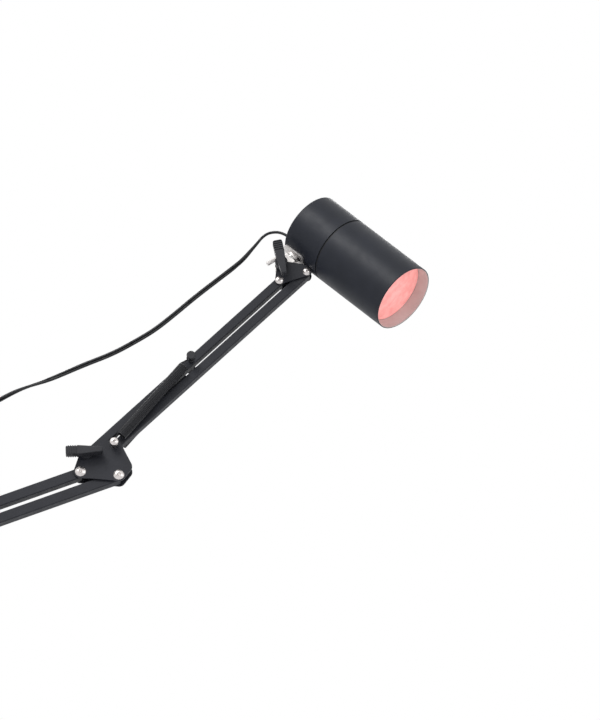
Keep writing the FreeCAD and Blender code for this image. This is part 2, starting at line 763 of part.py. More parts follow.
def supply_leads():
    """Two single leads from the gland's lip to the terminal block under the holder."""
    leads = []
    for way in (NEAR, FAR):
        foot = gland_base + V(-way * lead_spread, way * lead_spread, rear_wall + gland_lip_height)
        corner = foot + V(0, 0, lead_rise)
        end = V(terminal_size[0] / 2, way * terminal_pitch / 2, corner.z)
        edges = centreline(1, 2, [foot, corner, end + V(lead_entry, 0, 0), end])[0]
        leads.append(swept(edges, lead_radius))
    return group(leads)


def terminal_block():
    length, width, height = terminal_size
    return box(-length / 2, length / 2, -width / 2, width / 2, rear_wall, rear_wall + height)


def saddle_bracket():
    """A curved strap round the rear cap with a flat boss for the swivel stud."""
    strap_ring = ring_solid(lamp_radius + saddle, lamp_radius, saddle_start, saddle_start + saddle_length)
    wedge = Part.makeCylinder(lamp_radius + 3 * saddle, saddle_length, V(0, 0, saddle_start), V(0, 0, 1),
                              saddle_sweep)
    wedge.rotate(V(0, 0, 0), V(0, 0, 1), saddle_lean - saddle_sweep / 2)
    shape = strap_ring.common(wedge)
    corners = [e for e in shape.Edges if isinstance(e.Curve, Part.Line)
               and abs((e.Vertexes[0].Point - e.Vertexes[-1].Point).normalize().z) < 0.1]
    shape = shape.makeFillet(saddle_round, corners)
    boss = radial(saddle_boss_radius, 0, neck_place, through_wall[0], lamp_radius + boss_height)
    boss = boss.cut(Part.makeCylinder(lamp_radius, neck_place + saddle_boss_radius))
    shape = joined([shape, boss])
    shape = shape.cut(radial(stud_radius + pivot_clearance, 0, neck_place, *through_wall))
    for angle in screw_angles:
        shape = shape.cut(radial(saddle_screw + screw_clearance, angle, screw_place, *through_wall))
    return shape


def saddle_screws():
    """Flat-headed screws with a round socket."""
    seat = lamp_radius + saddle
    screws = []
    for angle in screw_angles:
        way = V(cos(radians(angle)), sin(radians(angle)), 0)
        shank = radial(saddle_screw, angle, screw_place, through_wall[0], seat)
        head = dome(V(0, 0, screw_place) + way * seat, way, saddle_screw_head, saddle_screw_height)
        top = seat + saddle_screw_height
        socket = radial(saddle_screw_hollow, angle, screw_place, top - saddle_screw_depth, top)
        screws.append(joined([shank, head]).cut(socket))
    return group(screws)


def gland():
    """The rubber strain relief: a lip inside the wall, a waist in it and a taper outside."""
    lip = Part.makeCylinder(gland_lip, gland_lip_height, gland_base + V(0, 0, rear_wall))
    waist = Part.makeCylinder(gland_waist, rear_wall, gland_base)
    taper = Part.makeCone(gland_root, gland_tip, gland_length, gland_base, V(0, 0, -1))
    return joined([lip, waist, taper])


# ---- head joint ----------------------------------------------------------------------------------
def along_neck(radius, start, end):
    return Part.makeCylinder(radius, end - start, tilt_point + neck * start, neck)


def tilt_block():
    """The block between the head plates: round about the tilt axis, square towards the lamp."""
    shape = rod((0, 0), block_radius, -side, side)
    body = box(0, block_reach, -side, side, -block_radius, block_radius)
    body = body.makeFillet(1.0, edges_along(body, V(1, 0, 0)))
    shape = joined([shape, body])
    shape.rotate(V(0, 0, 0), V(0, 1, 0), -neck_rise)
    shape.translate(tilt_point)
    shape = shape.cut(rod(tilt_axis, knob_bolt_radius + pivot_clearance, -side - 1, side + 1))
    return shape.cut(along_neck(stud_radius, stud_start, block_reach))


nut_corner = stud_nut / cos(pi / 6)
cap_bore = lamp_radius - lamp_wall
nut_seat = lamp_standoff + lamp_radius - sqrt(cap_bore ** 2 - nut_corner ** 2) + nut_clearance


def swivel_stud():
    return along_neck(stud_radius, stud_start, nut_seat + stud_nut_height + stud_over)


def swivel_fasteners():
    """The wave washer outside the lamp and the lock nut inside it."""
    ring = [V(nut_corner * cos(pi / 3 * k), nut_corner * sin(pi / 3 * k), 0) for k in range(6)]
    nut = Part.Face(Part.makePolygon(ring + [ring[0]])).extrude(V(0, 0, stud_nut_height))
    nut = nut.cut(Part.makeCylinder(stud_radius, stud_nut_height))
    nut.Placement = FreeCAD.Placement(tilt_point + neck * nut_seat, FreeCAD.Rotation(V(0, 0, 1), neck))
    wave = along_neck(wave_radius, block_reach, block_reach + wave_washer)
    return group([nut, wave.cut(along_neck(stud_radius, block_reach, block_reach + wave_washer))])


# ---- cord ----------------------------------------------------------------------------------------
towards_arm, towards_far = neck * -1, lamp_way.cross(neck * -1)
gland_foot = lamp_rear + towards_arm * gland_offset[0] + towards_far * gland_offset[1]
gland_point = gland_foot - lamp_way * gland_length
coil_height = 2 * cord_radius * coil_layers
coil_half = coil_pitch * coil_columns / 2
lying = cord_rest + cord_radius
switch_level = cord_rest + switch_size[2] / 2
switch_in = V(switch_place[0] + switch_size[0] / 2, switch_place[1], switch_level)
switch_out = V(switch_place[0] - switch_size[0] / 2, switch_place[1], switch_level)
coil_entry = V(coil_centre[0] + coil_dip, coil_centre[1] + coil_radius, lying)
coil_leave = V(coil_centre[0] + coil_dip, coil_centre[1] - coil_radius, lying)
plug_rear_x = plug_tip_x - blade_size[0] - plug_size[0]
plug_level = cord_rest + plug_size[2] / 2
plug_in = V(plug_rear_x - plug_taper, coil_leave.y, plug_level)

cord_route = [
    gland_point,
    gland_point - lamp_way * gland_lead,
    V(472.9, 34.4, 487.6),
    V(461.8, 33.2, 483.1),
    V(450.7, 28.7, 465.9),
    V(435.7, 23.0, 444.0),
    V(408.3, 17.5, 418.2),
    V(383.8, 14.5, 395.8),
    V(360.0, 12.5, 372.6),
    V(338.6, 11.5, 353.4),
    V(317.3, 12.0, 339.7),
    V(291.7, 12.0, 324.3),
    V(257.6, 12.5, 310.2),
    V(221.2, 13.0, 292.4),
    V(189.1, 14.0, 282.2),
    V(161.1, 16.0, 267.0),
    V(130.0, 19.0, 246.0),
    V(93.0, 25.0, 216.0),
    V(62.0, 31.0, 177.0),
    V(38.5, 37.0, 133.0),
    V(20.0, 42.5, 89.0),
    V(1.5, 46.2, 49.0),
    V(-16.5, 47.8, 19.5),
    V(-38.0, 47.6, 4.6),
    V(-58.0, 47.3, 4.7),
    V(-70.5, 47.0, 8.8),
    switch_in,
]
coil_route = [switch_out, V(-150.0, 47.0, 8.8), V(-165.0, 47.2, 3.9), coil_entry]
plug_route = [coil_leave, V(-164.0, -15.2, 3.2), V(-150.5, -15.0, 6.8), plug_in]


def stretch(first, last, route):
    """The cord from the middle of the run before one corner to the middle of the run after another."""
    edges, radii = centreline(first, last, route)
    for i, radius in enumerate(radii, first):
        print(f"  corner {i}: arc radius {radius:.1f} mm")
    shape = swept(edges, cord_radius)
    length = sum(edge.Length for edge in edges)
    share = shape.Volume / (pi * cord_radius ** 2 * length)
    print(f"  {length:.1f} mm long, volume {share:.4f} of section times length")
    return shape


def cord_coil():
    """The outer shape of the wound turns."""
    ring = box(coil_radius - coil_half, coil_radius + coil_half, 0, 1, 0, coil_height)
    face = [f for f in ring.Faces if abs(f.CenterOfMass.y) < 0.01][0]
    shape = face.revolve(V(0, 0, 0), V(0, 0, 1), 360)
    shape = shape.makeFillet(coil_pitch * 0.5, [e for e in shape.Edges if isinstance(e.Curve, Part.Circle)])
    shape.translate(V(coil_centre[0], coil_centre[1], cord_rest))
    return shape


def cord_tie():
    """A strap round the bundle of turns."""
    y0, y1 = coil_centre[1] - tie_width / 2, coil_centre[1] + tie_width / 2
    x0 = coil_centre[0] - coil_radius - coil_half - tie_clearance
    x1 = coil_centre[0] - sqrt((coil_radius - coil_half) ** 2 - (tie_width / 2) ** 2) + tie_clearance
    low, high = cord_rest - tie_clearance, cord_rest + coil_height + tie_clearance
    band = box(x0 - tie_thick, x1 + tie_thick, y0, y1, low - tie_under, high + tie_thick)
    return band.cut(box(x0, x1, y0, y1, low, high))


rocker_axis = (switch_place[0], cord_rest + switch_size[2] - rocker_pin_depth)


def switch_shells():
    """A base and a cover that meet at mid-height, with a window for the rocker."""
    length, width, height = switch_size
    x, y = switch_place
    block = box(x - length / 2, x + length / 2, y - width / 2, y + width / 2, cord_rest, cord_rest + height)
    block = block.makeFillet(switch_edge, edges_along(block, V(0, 0, 1)))
    half_x, half_y = length / 2 - switch_wall, width / 2 - switch_wall
    block = block.cut(box(x - half_x, x + half_x, y - half_y, y + half_y, cord_rest + switch_wall,
                          cord_rest + height - switch_wall))
    half_x, half_y = rocker_size[0] / 2 + rocker_clearance, rocker_size[1] / 2 + rocker_clearance
    window = box(x - half_x, x + half_x, y - half_y, y + half_y, switch_level, cord_rest + height)
    lower = block.common(box(x - length, x + length, y - width, y + width, cord_rest, switch_level))
    upper = block.common(box(x - length, x + length, y - width, y + width, switch_level, cord_rest + height))
    hole = rod(rocker_axis, rocker_pin + pivot_clearance, y - half_y - ear, y + half_y + ear)
    low, high = rocker_axis[1] - rocker_pin - ear / 2, cord_rest + height - switch_wall
    ears = []
    for way in (NEAR, FAR):
        y0, y1 = sorted((y + way * half_y, y + way * (half_y + ear)))
        ears.append(box(x - 2 * rocker_pin, x + 2 * rocker_pin, y0, y1, low, high))
    return group([lower, joined([upper.cut(window)] + ears).cut(hole)])


def switch_rocker():
    """A see-saw rocker that rests with its lamp-side end pressed."""
    length, width = rocker_size
    y = switch_place[1]
    half = length / 2
    inside, depth = rocker_foot
    ring = [V(-half, 0, rocker_end), V(0, 0, rocker_crown), V(half, 0, rocker_end), V(inside, 0, -depth),
            V(-inside, 0, -depth)]
    shape = Part.Face(Part.makePolygon(ring + [ring[0]])).extrude(V(0, width, 0))
    shape = shape.makeFillet(rocker_edge, edges_along(shape, V(0, 1, 0)))
    shape.translate(V(0, -width / 2, 0))
    shape.rotate(V(0, 0, 0), V(0, 1, 0), rocker_tilt)
    shape.translate(V(rocker_axis[0], y, rocker_axis[1]))
    reach = width / 2 + rocker_clearance + ear / 2
    return shape.fuse(rod(rocker_axis, rocker_pin, y - reach, y + reach)).removeSplitter()


def plug_body():
    length, width, height = plug_size
    y, z = plug_in.y, plug_in.z
    half, low = width / 2, z - height / 2
    body = box(plug_rear_x, plug_rear_x + length, y - half, y + half, low, low + height)
    body = body.makeFillet(plug_edge, edges_along(body, V(1, 0, 0)))
    return joined([body, Part.makeCone(plug_relief[0], plug_relief[1], plug_taper, plug_in, V(1, 0, 0))])


def plug_blades():
    length, thick, tall = blade_size
    start = plug_rear_x + plug_size[0]
    blades = []
    for way in (NEAR, FAR):
        y = plug_in.y + way * blade_gap / 2
        low = plug_in.z - tall / 2
        blades.append(box(start, start + length, y - thick / 2, y + thick / 2, low, low + tall))
    return group(blades)


# ---- nodes ---------------------------------------------------------------------------------------
post_along_lower = post_share * lower_length
post_along_upper = post_share * upper_length
lower_post_point = go(base_rear, post_along_lower, lower_rest)
upper_post_point = go(up_rear, post_along_upper, upper_rest)

nodes = {
    "jaw_pad": jaw_pad_shape(),
    "clamp_frame": clamp_frame(),
    "swivel_washer": ring_solid(socket_radius - washer_step, pin_radius + washer_clearance, socket_top,
                                bracket_base),
    "clamp_foot": clamp_foot(),
    "foot_pad": foot_pad_shape(),
    "clamp_screw": clamp_screw(),
    "pin_thumbscrew": thumbscrew(),
    "base_bracket": base_bracket(),
    "base_pin": base_pin(),
    "base_rivet": rivet(base_rear, outer, big_head, big_head_height, big_hollow),
    "base_spring_bolt": spring_bolt(base_front, outer),
    "base_washers": washers([base_rear, base_front], [rivet_radius, rivet_radius]),
    "lower_rear_bar": bar(base_rear, low_rear, lower_bar_depth, rivet_radius, rivet_radius,
                          post_along_lower),
    "lower_front_bar": bar(base_front, low_front, lower_bar_depth, rivet_radius, rivet_radius),
    "lower_spring_post": spring_post(lower_post_point),
    "lower_springs": springs(base_front, lower_post_point),
    "elbow_plates": elbow_plates(),
    "elbow_rivets": group([rivet(point, outer, big_head, big_head_height, big_hollow)
                           for point in (low_rear, low_front)]),
    "elbow_spring_bolt": spring_bolt(up_front, outer),
    "elbow_knob_bolt": knob_bolt(up_rear, outer, elbow_knob_hub),
    "elbow_washers": washers([low_rear, low_front, up_rear, up_front],
                             [rivet_radius, rivet_radius, knob_bolt_radius, rivet_radius]),
    "elbow_knob": knob(up_rear, -outer, elbow_knob_hub, elbow_knob_turn),
    "upper_rear_bar": bar(up_rear, head_rear, upper_bar_depth, knob_bolt_radius, rivet_radius,
                          post_along_upper),
    "upper_front_bar": bar(up_front, head_front, upper_bar_depth, rivet_radius, rivet_radius),
    "upper_spring_post": spring_post(upper_post_point),
    "upper_springs": springs(up_front, upper_post_point),
    "head_plates": head_plates(),
    "head_rivets": group([rivet(point, head_outer, small_head, small_head_height, small_hollow)
                          for point in (head_rear, head_front)]),
    "head_washers": washers([head_rear, head_front, tilt_axis],
                            [rivet_radius, rivet_radius, knob_bolt_radius]),
    "tilt_bolt": knob_bolt(tilt_axis, head_outer, head_knob_hub),
    "tilt_knob": knob(tilt_axis, -head_outer, head_knob_hub, head_knob_turn),
    "tilt_block": tilt_block(),
    "swivel_stud": swivel_stud(),
    "swivel_fasteners": swivel_fasteners(),
    "saddle_bracket": lamp_placed(saddle_bracket()),
    "saddle_screws": lamp_placed(saddle_screws()),
    "rear_cap": lamp_placed(rear_cap()),
    "joining_ring": lamp_placed(joining_ring()),
    "barrel": lamp_placed(barrel()),
    "bulb_lens": lamp_placed(bulb_lens()),
    "bulb_envelope": lamp_placed(bulb_envelope()),
    "bulb_screw_cap": lamp_placed(bulb_screw_cap()),
    "lampholder": lamp_placed(group([lampholder(), terminal_block()])),
    "holder_strap": lamp_placed(holder_strap()),
    "supply_leads": lamp_placed(supply_leads()),
    "cord_gland": lamp_placed(gland()),
    "cord_coil": cord_coil(),
    "cord_tail": group([stretch(1, 2, coil_route), stretch(1, 2, plug_route)]),
    "cord_tie": cord_tie(),
    "switch_shells": switch_shells(),
    "switch_rocker": switch_rocker(),
    "plug_body": plug_body(),
    "plug_blades": plug_blades(),
}
# Each body's stretch of the cord runs between the middles of two of the route's runs.
for name, first, last in (("cord_lamp", 1, 3), ("cord_tilt", 4, 5), ("cord_head", 6, 7),
                          ("cord_upper", 8, 10), ("cord_elbow", 11, 13), ("cord_lower", 14, 18),
                          ("cord_base", 19, 25)):
    print(name)
    nodes[name] = stretch(first, last, cord_route)
print(f"coil: {coil_turns} turns, {2 * pi * coil_radius * coil_turns:.0f} mm")

os.makedirs("parts", exist_ok=True)
for name, shape in nodes.items():
    if not shape.isValid():
        print("not valid:", name)
    shape.exportStep(f"parts/{name}.step")
print(len(nodes), "nodes")
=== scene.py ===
import json
import math

import bpy
from mathutils import Matrix, Vector


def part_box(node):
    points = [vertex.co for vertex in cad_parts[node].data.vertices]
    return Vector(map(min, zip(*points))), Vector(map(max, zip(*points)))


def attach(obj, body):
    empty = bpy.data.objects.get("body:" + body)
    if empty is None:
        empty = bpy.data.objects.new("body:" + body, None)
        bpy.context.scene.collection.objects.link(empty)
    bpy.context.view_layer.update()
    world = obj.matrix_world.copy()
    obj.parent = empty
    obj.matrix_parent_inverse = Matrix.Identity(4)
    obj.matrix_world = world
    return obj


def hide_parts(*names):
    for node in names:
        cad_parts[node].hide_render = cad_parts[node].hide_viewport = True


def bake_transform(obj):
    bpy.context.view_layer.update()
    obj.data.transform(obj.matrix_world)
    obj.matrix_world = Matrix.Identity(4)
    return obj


# A red heat lamp on a spring-balanced arm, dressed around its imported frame. Metres.

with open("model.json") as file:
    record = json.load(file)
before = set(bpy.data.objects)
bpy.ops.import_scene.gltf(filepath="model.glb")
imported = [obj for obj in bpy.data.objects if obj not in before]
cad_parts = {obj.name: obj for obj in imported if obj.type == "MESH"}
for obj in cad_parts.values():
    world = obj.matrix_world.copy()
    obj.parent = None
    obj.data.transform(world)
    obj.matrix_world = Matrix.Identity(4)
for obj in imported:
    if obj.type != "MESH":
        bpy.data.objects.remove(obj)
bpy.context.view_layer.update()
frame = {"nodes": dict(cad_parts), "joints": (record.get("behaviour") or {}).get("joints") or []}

NODES = frame["nodes"]
JOINTS = {joint["name"]: joint for joint in frame["joints"]}


def pivot(name):
    return Vector(JOINTS[name]["pos_m"])


def middle(node):
    low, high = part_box(node)
    return (low + high) / 2


# ---- camera, light and stage ---------------------------------------------------------------------
CAMERA_DISTANCE = 10.0
CAMERA_RISE = math.radians(25.0)  # the camera looks up from below the arm, through a long lens
CAMERA_FIELD = math.radians(4.618)
CAMERA_CLIP = (0.05, 60.0)
VIEW_CENTRE = Vector((0.5024, 0.0, 0.3114))
ROOM_COLOUR = (0.96, 0.97, 1.0, 1)
ROOM_LIGHT = 0.55
WHITE = (1, 1, 1, 1)
LIGHT_TARGET = Vector((0.4, 0, 0.3))
LIGHTS = (  # name, place, size, and power in watts
    ("key", (-0.6, -1.6, 1.9), (1.2, 1.2), 30),
    ("fill", (6.0, -6.0, -0.1), (5.6, 5.6), 192),
    ("rim", (0.2, 1.6, 1.6), (1.4, 1.0), 20),
)
FLOOR_LEVEL = -0.125  # just under the clamp's handle
FLOOR_HALF = 40.0  # from the floor's middle to its edge
FLOOR_GREYS = ((0.82, 0.82, 0.82), (0.86, 0.86, 0.86))
FLOOR_PATCH = 0.5
FLOOR_ROUGH = 0.8


def make_camera():
    camera = bpy.data.objects.new("camera", bpy.data.cameras.new("camera"))
    camera.data.sensor_fit = "VERTICAL"
    camera.data.angle = CAMERA_FIELD
    camera.data.clip_start, camera.data.clip_end = CAMERA_CLIP
    way = Vector((0.0, math.cos(CAMERA_RISE), math.sin(CAMERA_RISE)))
    camera.location = VIEW_CENTRE - way * CAMERA_DISTANCE
    camera.rotation_euler = way.to_track_quat("-Z", "Y").to_euler()
    bpy.context.scene.collection.objects.link(camera)
    bpy.context.scene.camera = camera
    bpy.context.scene.view_settings.view_transform = "Standard"


def add_area(name, place, size, power):
    """A rectangular lamp that shines at the object, and that the camera doesn't see."""
    light = bpy.data.lights.new(name, "AREA")
    light.shape = "RECTANGLE"
    light.size, light.size_y = size
    light.energy = power
    lamp = bpy.data.objects.new(name, light)
    lamp.location = place
    lamp.rotation_euler = (LIGHT_TARGET - Vector(place)).to_track_quat("-Z", "Y").to_euler()
    lamp.visible_camera = False
    bpy.context.scene.collection.objects.link(lamp)


def make_world():
    """An even pale room, white where the camera, a mirror or glass looks past the object."""
    world = bpy.data.worlds.new("studio")
    bpy.context.scene.world = world
    world.use_nodes = True
    tree = world.node_tree
    tree.nodes.clear()
    out = tree.nodes.new("ShaderNodeOutputWorld")
    mix = tree.nodes.new("ShaderNodeMixShader")
    room = tree.nodes.new("ShaderNodeBackground")
    white = tree.nodes.new("ShaderNodeBackground")
    room.inputs["Color"].default_value = ROOM_COLOUR
    room.inputs["Strength"].default_value = ROOM_LIGHT
    white.inputs["Color"].default_value = WHITE
    white.inputs["Strength"].default_value = 1.0
    path = tree.nodes.new("ShaderNodeLightPath")
    seen = path.outputs["Is Camera Ray"]
    for ray in ("Is Glossy Ray", "Is Transmission Ray"):
        seen = greater(tree, seen, path.outputs[ray])
    tree.links.new(seen, mix.inputs["Fac"])
    tree.links.new(room.outputs[0], mix.inputs[1])
    tree.links.new(white.outputs[0], mix.inputs[2])
    tree.links.new(mix.outputs[0], out.inputs["Surface"])


def make_floor():
    mesh = bpy.data.meshes.new("floor")
    corners = [(x * FLOOR_HALF, y * FLOOR_HALF, FLOOR_LEVEL)
               for x, y in ((-1, -1), (1, -1), (1, 1), (-1, 1))]
    mesh.from_pydata(corners, [], [(0, 1, 2, 3)])
    floor = bpy.data.objects.new("floor", mesh)
    bpy.context.scene.collection.objects.link(floor)
    floor.data.materials.append(FLOOR_PAINT)


# ---- materials -----------------------------------------------------------------------------------
NOISE_SPAN = (0.3, 0.7)  # a noise value mostly lies between these
GLOSS_SHARE = 0.4  # the size of a patch of gloss, beside one of colour
# Painted shade in hollows: a finish's colour is darkened where its surface is shut in.
HOLLOW_REACH = 0.0025  # how far around a place its shade is looked for
HOLLOW_RAYS = 8
HOLLOW_OPEN = (0.35, 0.9)  # how open a place is where the shade is deepest, and where it ends
HOLLOW_PAINTED_SHADE = 0.25  # what is left of the colour in the deepest shade


def new_material(name):
    material = bpy.data.materials.new(name)
    material.use_nodes = True
    tree = material.node_tree
    shader = tree.nodes["Principled BSDF"]
    return material, tree, shader


def greater(tree, value, other):
    """The greater of two values."""
    node = tree.nodes.new("ShaderNodeMath")
    node.operation = "MAXIMUM"
    tree.links.new(value, node.inputs[0])
    tree.links.new(other, node.inputs[1])
    return node.outputs["Value"]


def vector_math(tree, operation, value, other=None):
    """A node of vector arithmetic on a linked value and, where it takes two, a fixed one."""
    node = tree.nodes.new("ShaderNodeVectorMath")
    node.operation = operation
    tree.links.new(value, node.inputs[0])
    if other is not None:
        node.inputs[1].default_value = other
    return node


def mapped(tree, value, start, stop, low=0.0, high=1.0):
    """Goes from low to high as value goes from start to stop."""
    node = tree.nodes.new("ShaderNodeMapRange")
    node.inputs["From Min"].default_value = start
    node.inputs["From Max"].default_value = stop
    node.inputs["To Min"].default_value = low
    node.inputs["To Max"].default_value = high
    tree.links.new(value, node.inputs["Value"])
    return node.outputs["Result"]


def noise(tree, size, detail=4.0, roughness=0.55):
    """A noise value whose features are about size metres across, fixed to the piece."""
    place = tree.nodes.new("ShaderNodeTexCoord")
    texture = tree.nodes.new("ShaderNodeTexNoise")
    texture.inputs["Scale"].default_value = 1.0 / size
    texture.inputs["Detail"].default_value = detail
    texture.inputs["Roughness"].default_value = roughness
    tree.links.new(place.outputs["Object"], texture.inputs["Vector"])
    return texture.outputs["Fac"]


def ramp(tree, value, low, high, at=NOISE_SPAN):
    """Blends from colour low to colour high as value goes from at[0] to at[1]."""
    node = tree.nodes.new("ShaderNodeValToRGB")
    node.color_ramp.elements[0].position = at[0]
    node.color_ramp.elements[1].position = at[1]
    node.color_ramp.elements[0].color = (*low, 1)
    node.color_ramp.elements[1].color = (*high, 1)
    tree.links.new(value, node.inputs["Fac"])
    return node.outputs["Color"]


def roughen(tree, shader, patch, rough):
    """Lets the roughness drift between two values over patches."""
    drift = mapped(tree, noise(tree, patch), *NOISE_SPAN, *rough)
    tree.links.new(drift, shader.inputs["Roughness"])


def bump(tree, shader, height, depth):
    """Relief of a depth in metres, from a height between 0 and 1."""
    node = tree.nodes.new("ShaderNodeBump")
    node.inputs["Distance"].default_value = depth
    node.inputs["Strength"].default_value = 1.0
    tree.links.new(height, node.inputs["Height"])
    tree.links.new(node.outputs["Normal"], shader.inputs["Normal"])


def finish(name, low, high, rough, metal=0.0, patch=0.02, grain=0.0006, depth=0.00002,
           **sockets):
    """A surface whose colour and gloss drift over patches, with a fine grain in relief."""
    material, tree, shader = new_material(name)
    tree.links.new(ramp(tree, noise(tree, patch), low, high), shader.inputs["Base Color"])
    roughen(tree, shader, patch * GLOSS_SHARE, rough)
    bump(tree, shader, noise(tree, grain, detail=2.0), depth)
    shader.inputs["Metallic"].default_value = metal
    for socket, value in sockets.items():
        shader.inputs[socket.replace("_", " ")].default_value = value
    return material


def paint_hollow_shade(material):
    """Paints shade into a finish's colour where the surface is shut in, as in the hollow of a
    rivet's head.
    """
    tree = material.node_tree
    base = tree.nodes["Principled BSDF"].inputs["Base Color"]
    shut_in = tree.nodes.new("ShaderNodeAmbientOcclusion")
    shut_in.samples = HOLLOW_RAYS
    shut_in.only_local = True
    shut_in.inputs["Distance"].default_value = HOLLOW_REACH
    shade = mapped(tree, shut_in.outputs["AO"], *HOLLOW_OPEN, low=HOLLOW_PAINTED_SHADE)
    scaled = vector_math(tree, "SCALE", base.links[0].from_socket)
    tree.links.new(shade, scaled.inputs["Scale"])
    tree.links.new(scaled.outputs["Vector"], base)
    return material


# Each finish: the two colours that it drifts between, and the two values of its roughness.
ENAMEL = finish("black_enamel", (0.008, 0.0088, 0.0135), (0.013, 0.0143, 0.0205), (0.42, 0.56),
                grain=0.0009, depth=0.00003, Specular_IOR_Level=0.35)
GROOVE = finish("groove_black", (0.006, 0.006, 0.007), (0.010, 0.010, 0.011), (0.5, 0.6))
SPRING_STEEL = finish("black_spring_steel", (0.010, 0.0105, 0.013), (0.016, 0.0165, 0.020),
                      (0.45, 0.55), depth=0.000005, Specular_IOR_Level=0.40)
BLACK_SCREW = finish("black_screw", (0.03, 0.03, 0.032), (0.06, 0.06, 0.063), (0.25, 0.4),
                     metal=0.8, patch=0.003)
# The nickel of the rivets and bolts, with painted shade darkening the hollows of their heads.
NICKEL_WITH_PAINTED_SHADE = paint_hollow_shade(finish("nickel", (0.60, 0.565, 0.55), (0.76, 0.72, 0.70), (0.22, 0.38),
                         metal=1.0, patch=0.004, grain=0.0004, depth=0.00001))
NICKEL_PLAIN = finish("nickel_plain", (0.72, 0.695, 0.68), (0.86, 0.83, 0.81), (0.40, 0.52),
                      metal=1.0, patch=0.006, grain=0.0004, depth=0.00001)
ZINC = finish("zinc_steel", (0.48, 0.48, 0.47), (0.62, 0.62, 0.60), (0.25, 0.42), metal=1.0,
              patch=0.005)
KNOB = finish("black_knob", (0.013, 0.013, 0.017), (0.021, 0.022, 0.027), (0.42, 0.58),
              grain=0.0004, depth=0.00004, Specular_IOR_Level=0.36)
NYLON = finish("nylon", (0.70, 0.69, 0.64), (0.80, 0.79, 0.74), (0.4, 0.55), patch=0.01)
FIBRE = finish("black_fibre", (0.020, 0.020, 0.020), (0.032, 0.032, 0.032), (0.6, 0.75),
               patch=0.004)
RUBBER = finish("black_rubber", (0.018, 0.018, 0.018), (0.032, 0.032, 0.032), (0.62, 0.8),
                grain=0.0005, depth=0.00005)
SILVERED = finish("bulb_silver", (0.70, 0.70, 0.70), (0.80, 0.80, 0.79), (0.12, 0.22),
                  metal=1.0, patch=0.01)
BRASS = finish("bulb_brass", (0.60, 0.42, 0.17), (0.74, 0.55, 0.27), (0.2, 0.38), metal=1.0,
               patch=0.004)
CERAMIC = finish("white_ceramic", (0.80, 0.79, 0.75), (0.88, 0.87, 0.83), (0.15, 0.28),
                 patch=0.012)
SLEEVE = finish("lead_sleeve", (0.10, 0.055, 0.04), (0.16, 0.09, 0.06), (0.5, 0.65),
                patch=0.004)
CORD = finish("black_cord", (0.008, 0.0085, 0.010), (0.013, 0.0135, 0.016), (0.36, 0.46),
              grain=0.0008, depth=0.000008, Specular_IOR_Level=0.40)
MOULDING = finish("black_moulding", (0.018, 0.018, 0.019), (0.028, 0.028, 0.030), (0.45, 0.6),
                  grain=0.0005, depth=0.00004)
ROCKER = finish("black_rocker", (0.035, 0.035, 0.035), (0.05, 0.05, 0.05), (0.12, 0.22),
                patch=0.01)


def floor_paint():
    """A pale floor that is open from below, where the camera looks up through it."""
    material, tree, shader = new_material("floor_paint")
    grey = ramp(tree, noise(tree, FLOOR_PATCH), *FLOOR_GREYS)
    tree.links.new(grey, shader.inputs["Base Color"])
    shader.inputs["Roughness"].default_value = FLOOR_ROUGH
    side = tree.nodes.new("ShaderNodeNewGeometry")
    clear = tree.nodes.new("ShaderNodeBsdfTransparent")
    mix = tree.nodes.new("ShaderNodeMixShader")
    tree.links.new(side.outputs["Backfacing"], mix.inputs["Fac"])
    tree.links.new(shader.outputs["BSDF"], mix.inputs[1])
    tree.links.new(clear.outputs["BSDF"], mix.inputs[2])
    tree.links.new(mix.outputs["Shader"], tree.nodes["Material Output"].inputs["Surface"])
    return material


FLOOR_PAINT = floor_paint()

# ---- the lamp's paint and its lens ---------------------------------------------------------------
LAMP_TURN = math.radians(12.9)  # swivel towards the near side
LAMP_RADIUS = 0.040
LAMP_STANDOFF = 0.020  # from the tilt axis to the lamp's skin
NECK_PLACE = 0.0146  # from the rear face to the swivel axis
LAMP_LENGTH = 0.1518
LENS_RECESS = 0.0124
LENS_DEPTH = 0.012  # from the lens's front to where the pale wall inside the mouth begins
MOUTH_WALL = LAMP_LENGTH - LENS_RECESS - LENS_DEPTH  # where that is from the rear face
WALL_EDGE = 0.001  # over which the wall turns pale
SKIN_DEPTHS = (0.0012, 0.0010)  # under the skin, it turns from inside to outside between these

LAMP_BLACK = ((0.0105, 0.0125, 0.0185), (0.0155, 0.018, 0.026))
LAMP_PATCH = 0.03
LAMP_ROUGH = (0.40, 0.50)
LAMP_GLOSS_PATCH = 0.012
LAMP_SPECULAR = 0.27
LAMP_GRAIN = 0.0007
LAMP_GRAIN_DEPTH = 0.00002
# The inside wall's colour: pale, with a pink tint that is painted red light from the bulb.
WALL_PALE_WITH_PAINTED_GLOW = ((0.58, 0.50, 0.48), (0.66, 0.59, 0.57))
WALL_PATCH = 0.02

LENS_RED = ((0.72, 0.27, 0.25), (0.86, 0.37, 0.345))
LENS_MOTTLE = 0.009
LENS_SPAN = (0.36, 0.64)  # the noise values at which its two reds are pure
LENS_LIGHT = 0.56
LENS_ROUGH = (0.35, 0.5)
LENS_GLOSS_PATCH = 0.004
STIPPLE = 0.0022
STIPPLE_DEPTH = 0.0003

neck = Vector(JOINTS["lamp_swivel"]["axis"]).normalized()
ahead = Vector((neck.z, 0.0, -neck.x))
lamp_way = (ahead * math.cos(LAMP_TURN) + Vector((0, -1, 0)) * math.sin(LAMP_TURN)).normalized()
lamp_rear = pivot("lamp_tilt") + neck * (LAMP_STANDOFF + LAMP_RADIUS) - lamp_way * NECK_PLACE


